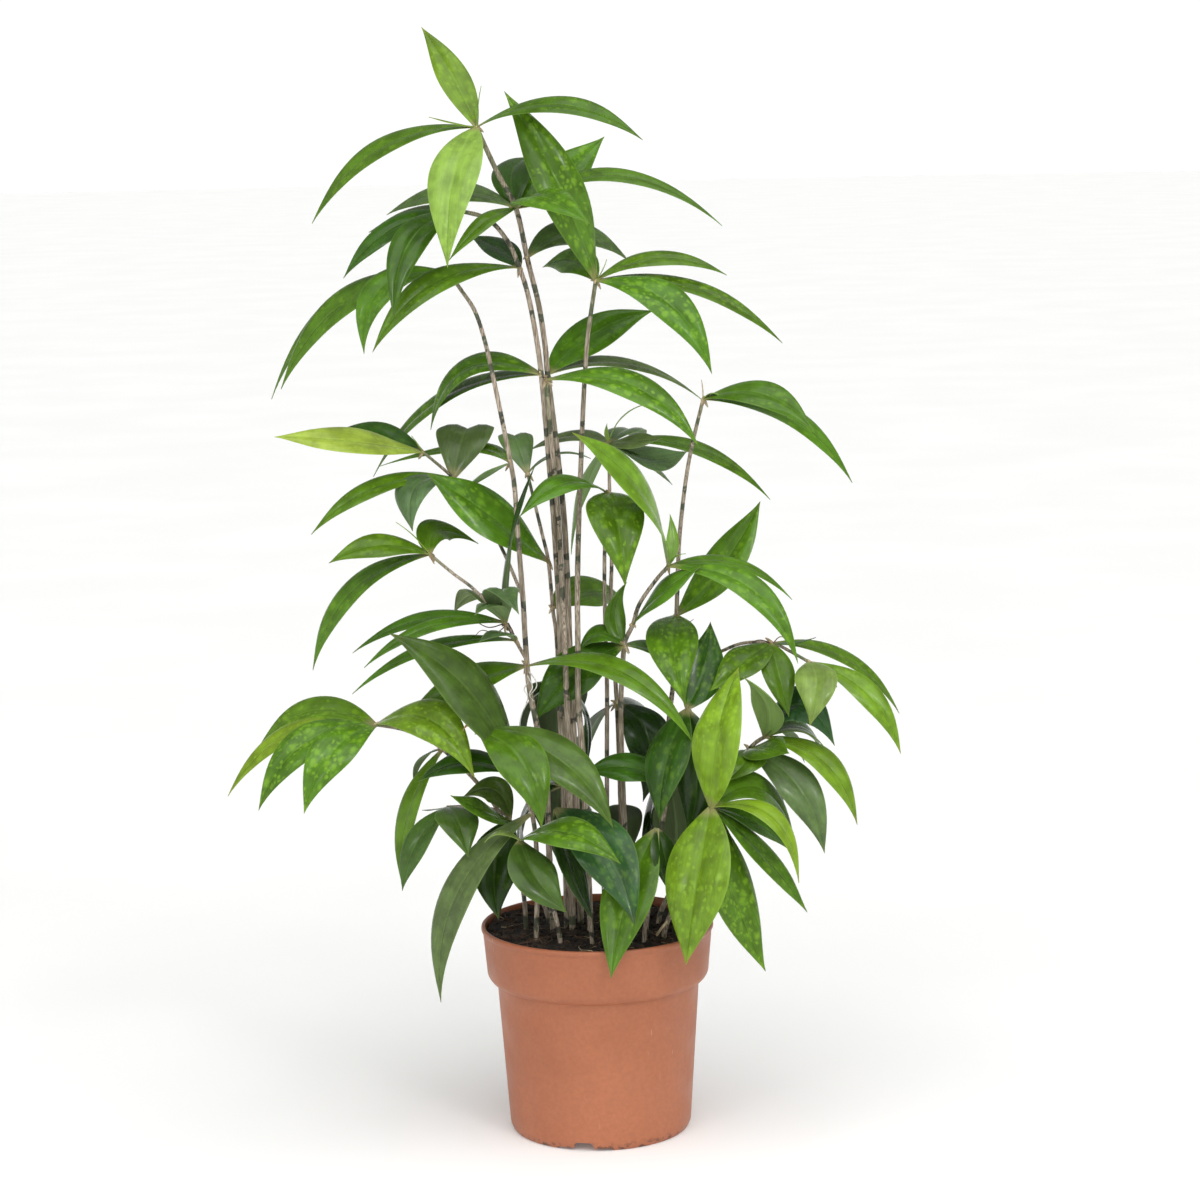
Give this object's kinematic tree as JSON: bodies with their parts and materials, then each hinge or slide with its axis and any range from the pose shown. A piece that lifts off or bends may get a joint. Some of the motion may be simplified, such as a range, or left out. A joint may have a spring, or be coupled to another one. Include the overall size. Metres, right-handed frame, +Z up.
{
  "type": "potted plant",
  "caption": "Bushy cane-stemmed houseplant with whorls of speckled lance-shaped leaves, growing in a round tapered nursery pot with a raised band at the rim.",
  "frame": {"origin": "on the surface the pot stands on, in the middle of the box that the plant fills; the pot's axis is 21 mm along +X and 4.2 mm along -Y from it", "axes": "+Z up, along the pot's axis; -Y is the side that the picture shows, +X to the viewer's right"},
  "size_m": [0.4909, 0.2354, 0.802],
  "materials": {
    "terracotta_plastic": "matte",
    "peat": "rough, fibrous",
    "foliage": "glossy leaf with paler specks, on a banded grey-tan cane"
  },
  "bodies": {
    "root": {"pot": "terracotta_plastic", "soil": "peat", "cane_tall": "foliage", "cane_twin": "foliage", "cane_inner": "foliage", "cane_left": "foliage", "cane_thin": "foliage", "cane_middle": "foliage", "cane_slim": "foliage", "cane_back": "foliage", "cane_forked": "foliage", "cane_right": "foliage", "stem_centre_right": "foliage", "stem_front_right": "foliage", "stem_far_right": "foliage", "stem_front_left": "foliage", "stem_far_left": "foliage", "stem_low_left": "foliage", "stem_front": "foliage", "stem_front_centre": "foliage", "stem_short": "foliage"}
  },
  "joints": []
}
